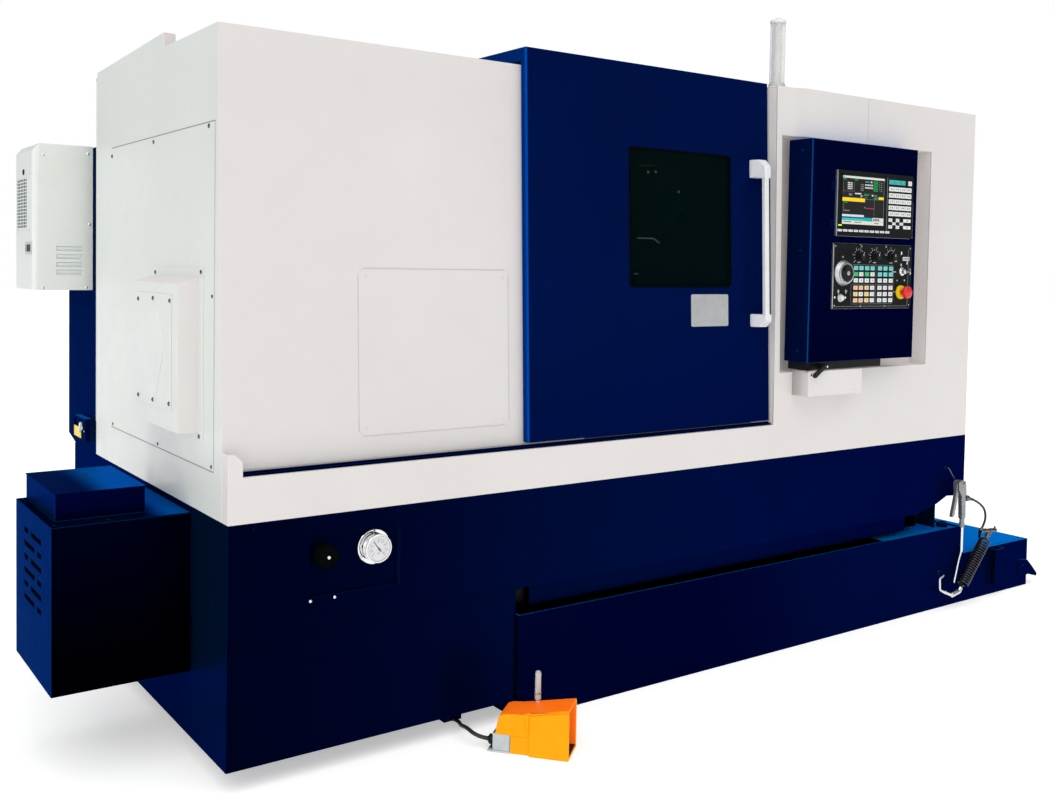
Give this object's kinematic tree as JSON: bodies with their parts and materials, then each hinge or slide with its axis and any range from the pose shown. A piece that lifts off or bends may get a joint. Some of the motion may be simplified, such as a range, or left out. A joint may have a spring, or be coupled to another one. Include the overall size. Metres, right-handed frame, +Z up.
{
  "type": "cnc turning lathe",
  "caption": "Slant-bed turning centre with sliding door, swivel control console, chip tray, rear electrical cabinet, air gun and foot switch.",
  "frame": {"origin": "centre of the footprint box, on the floor under the levelling feet, chip tray and foot switch", "axes": "+X along the front to the right (towards the tailstock), +Y to the rear, +Z up"},
  "size_m": [3.501, 1.6602, 1.945],
  "materials": {
    "casting": "machine grey enamel on cast iron",
    "zinc_steel": "zinc-plated steel",
    "blue_paint": "deep navy blue gloss powder coat",
    "white_paint": "fine-texture warm white powder coat",
    "guard_paint": "dark oil-resistant enamel inside the work area",
    "ground_steel": "ground and turned steel",
    "motor_paint": "dark grey motor enamel",
    "belt_rubber": "ribbed black rubber",
    "smoked_glass": "laminated safety glass, dark room behind",
    "handle_white": "smooth light powder coat on aluminium",
    "cooler_paint": "light grey fine-texture powder coat",
    "black_plastic": "fine-grained black plastic",
    "panel_black": "black control membrane in an aluminium frame",
    "black_paint": "black oxide and satin paint",
    "red_plastic": "glossy red",
    "white_plastic": "translucent white cap",
    "chrome": "polished chrome",
    "lamp_lens": "frosted clear acrylic",
    "gun_alu": "die-cast aluminium",
    "hose_black": "black polyurethane hose",
    "cable_black": "black cable jacket",
    "orange_paint": "orange powder coat on cast metal"
  },
  "bodies": {
    "machine_frame": {"bed_casting": "casting", "levelling_feet": "zinc_steel", "base_skirt": "blue_paint", "chip_tray": "blue_paint", "left_cover": "white_paint", "service_panel": "white_paint", "side_panel": "white_paint", "cylinder_cover": "white_paint", "cylinder_cover_plate": "white_paint", "front_cover": "white_paint", "roof_cover": "white_paint", "rear_cover": "blue_paint", "splash_guard": "guard_paint", "door_rail": "blue_paint", "headstock": "casting", "spindle_motor": "motor_paint", "drive_belt": "belt_rubber", "guide_rails": "ground_steel", "electrical_cabinet": "blue_paint", "cabinet_cooler": "cooler_paint", "side_tank": "blue_paint", "pressure_gauge": "chrome", "signal_lamp": "lamp_lens", "air_gun_body": "gun_alu", "air_hose": "hose_black", "coil_hose": "hose_black", "air_line_fittings": "chrome", "foot_switch_body": "orange_paint", "foot_switch_cable": "cable_black"},
    "door": {"door_shell": "blue_paint", "door_window": "smoked_glass", "door_handle": "handle_white"},
    "spindle_unit": {"spindle": "ground_steel", "chuck_body": "ground_steel"},
    "jaw_1": {"chuck_jaw_1": "ground_steel"},
    "jaw_2": {"chuck_jaw_2": "ground_steel"},
    "jaw_3": {"chuck_jaw_3": "ground_steel"},
    "motor_rotor": {"motor_pulley": "ground_steel"},
    "carriage_unit": {"carriage": "casting"},
    "cross_slide_unit": {"cross_slide": "casting"},
    "turret_unit": {"turret_disc": "ground_steel", "tool_holders": "ground_steel"},
    "tailstock_unit": {"tailstock_body": "casting"},
    "quill_unit": {"tailstock_quill": "ground_steel"},
    "console": {"console_box": "blue_paint", "console_mount": "black_paint", "screen_unit": "panel_black", "machine_panel": "panel_black"},
    "console_clamp": {"clamp_lever": "black_plastic"},
    "mpg_wheel": {"handwheel": "black_plastic"},
    "knob_1": {"feed_knob_1": "black_plastic"},
    "knob_2": {"feed_knob_2": "black_plastic"},
    "knob_3": {"feed_knob_3": "black_plastic"},
    "stop_head": {"emergency_stop": "red_plastic"},
    "key": {"key_switch": "chrome"},
    "white_button": {"push_button": "white_plastic"},
    "main_switch_handle": {"main_switch": "white_plastic"},
    "regulator": {"regulator_knob": "black_plastic"},
    "gun_trigger": {"air_gun_lever": "gun_alu"},
    "pedal": {"foot_pedal": "black_paint"}
  },
  "joints": [
    {"name": "door_slide", "type": "slide", "parent": "machine_frame", "child": "door", "axis": [1, 0, 0], "range_m": [-0.68, 0]},
    {"name": "spindle_turn", "type": "hinge", "parent": "machine_frame", "child": "spindle_unit", "pos_m": [-0.8015, -0.22091, 0.965], "axis": [1, 0, 0], "continuous": true},
    {"name": "jaw_1_slide", "type": "slide", "parent": "spindle_unit", "child": "jaw_1", "axis": [0, 0, 1], "range_m": [-0.004, 0.004]},
    {"name": "jaw_2_slide", "type": "slide", "parent": "spindle_unit", "child": "jaw_2", "axis": [0, -0.866, -0.5], "range_m": [-0.004, 0.004]},
    {"name": "jaw_3_slide", "type": "slide", "parent": "spindle_unit", "child": "jaw_3", "axis": [0, 0.866, -0.5], "range_m": [-0.004, 0.004]},
    {"name": "motor_turn", "type": "hinge", "parent": "machine_frame", "child": "motor_rotor", "pos_m": [-1.3165, -0.29591, 0.48], "axis": [1, 0, 0], "continuous": true},
    {"name": "carriage_slide", "type": "slide", "parent": "machine_frame", "child": "carriage_unit", "axis": [1, 0, 0], "range_m": [-0.35, 0.35]},
    {"name": "cross_slide_travel", "type": "slide", "parent": "carriage_unit", "child": "cross_slide_unit", "axis": [0, -0.7071, -0.7071], "range_m": [0, 0.19]},
    {"name": "turret_index", "type": "hinge", "parent": "cross_slide_unit", "child": "turret_unit", "pos_m": [-0.1415, 0.08314, 1.26906], "axis": [1, 0, 0], "continuous": true},
    {"name": "tailstock_slide", "type": "slide", "parent": "machine_frame", "child": "tailstock_unit", "axis": [1, 0, 0], "range_m": [-0.45, 0.2]},
    {"name": "quill_slide", "type": "slide", "parent": "tailstock_unit", "child": "quill_unit", "axis": [-1, 0, 0], "range_m": [0, 0.12]},
    {"name": "console_swivel", "type": "hinge", "parent": "machine_frame", "child": "console", "pos_m": [0.3635, -0.60091, 0.88], "axis": [0, 0, 1], "range_deg": [-90, 0]},
    {"name": "clamp_lever_turn", "type": "hinge", "parent": "console", "child": "console_clamp", "pos_m": [0.4135, -0.63591, 0.883], "axis": [0, -1, 0], "range_deg": [-30, 60]},
    {"name": "handwheel_turn", "type": "hinge", "parent": "console", "child": "mpg_wheel", "pos_m": [0.4895, -0.63191, 1.169], "axis": [0, -1, 0], "continuous": true},
    {"name": "feed_knob_1_turn", "type": "hinge", "parent": "console", "child": "knob_1", "pos_m": [0.5655, -0.63191, 1.221], "axis": [0, -1, 0], "range_deg": [-135, 135]},
    {"name": "feed_knob_2_turn", "type": "hinge", "parent": "console", "child": "knob_2", "pos_m": [0.6425, -0.63191, 1.222], "axis": [0, -1, 0], "range_deg": [-135, 135]},
    {"name": "feed_knob_3_turn", "type": "hinge", "parent": "console", "child": "knob_3", "pos_m": [0.7245, -0.63191, 1.222], "axis": [0, -1, 0], "range_deg": [-135, 135]},
    {"name": "emergency_stop_press", "type": "slide", "parent": "console", "child": "stop_head", "axis": [0, 1, 0], "range_m": [0, 0.005]},
    {"name": "key_switch_turn", "type": "hinge", "parent": "console", "child": "key", "pos_m": [0.7815, -0.63591, 1.177], "axis": [0, -1, 0], "range_deg": [0, 90]},
    {"name": "push_button_press", "type": "slide", "parent": "console", "child": "white_button", "axis": [0, 1, 0], "range_m": [0, 0.003], "stiffness_N_per_m": 600, "springref_m": -0.002},
    {"name": "main_switch_turn", "type": "hinge", "parent": "machine_frame", "child": "main_switch_handle", "pos_m": [-1.4635, 0.58409, 0.672], "axis": [-1, 0, 0], "range_deg": [0, 90]},
    {"name": "regulator_knob_turn", "type": "hinge", "parent": "machine_frame", "child": "regulator", "pos_m": [-1.2115, -0.57591, 0.506], "axis": [0, -1, 0], "range_deg": [-720, 720]},
    {"name": "air_gun_trigger", "type": "hinge", "parent": "machine_frame", "child": "gun_trigger", "pos_m": [1.1685, -0.60091, 0.436], "axis": [0, -1, 0], "range_deg": [0, 12], "stiffness_Nm_per_rad": 0.8, "springref_deg": -5.73},
    {"name": "foot_pedal_press", "type": "hinge", "parent": "machine_frame", "child": "pedal", "pos_m": [-0.75137, -0.70303, 0.04], "axis": [0.7627, 0.6467, 0], "range_deg": [0, 12], "stiffness_Nm_per_rad": 6, "springref_deg": -11.46}
  ],
  "couplings": [
    {"joint": "jaw_2_slide", "follows": "jaw_1_slide", "ratio": 1},
    {"joint": "jaw_3_slide", "follows": "jaw_1_slide", "ratio": 1},
    {"joint": "motor_turn", "follows": "spindle_turn", "ratio": 1.4286}
  ]
}
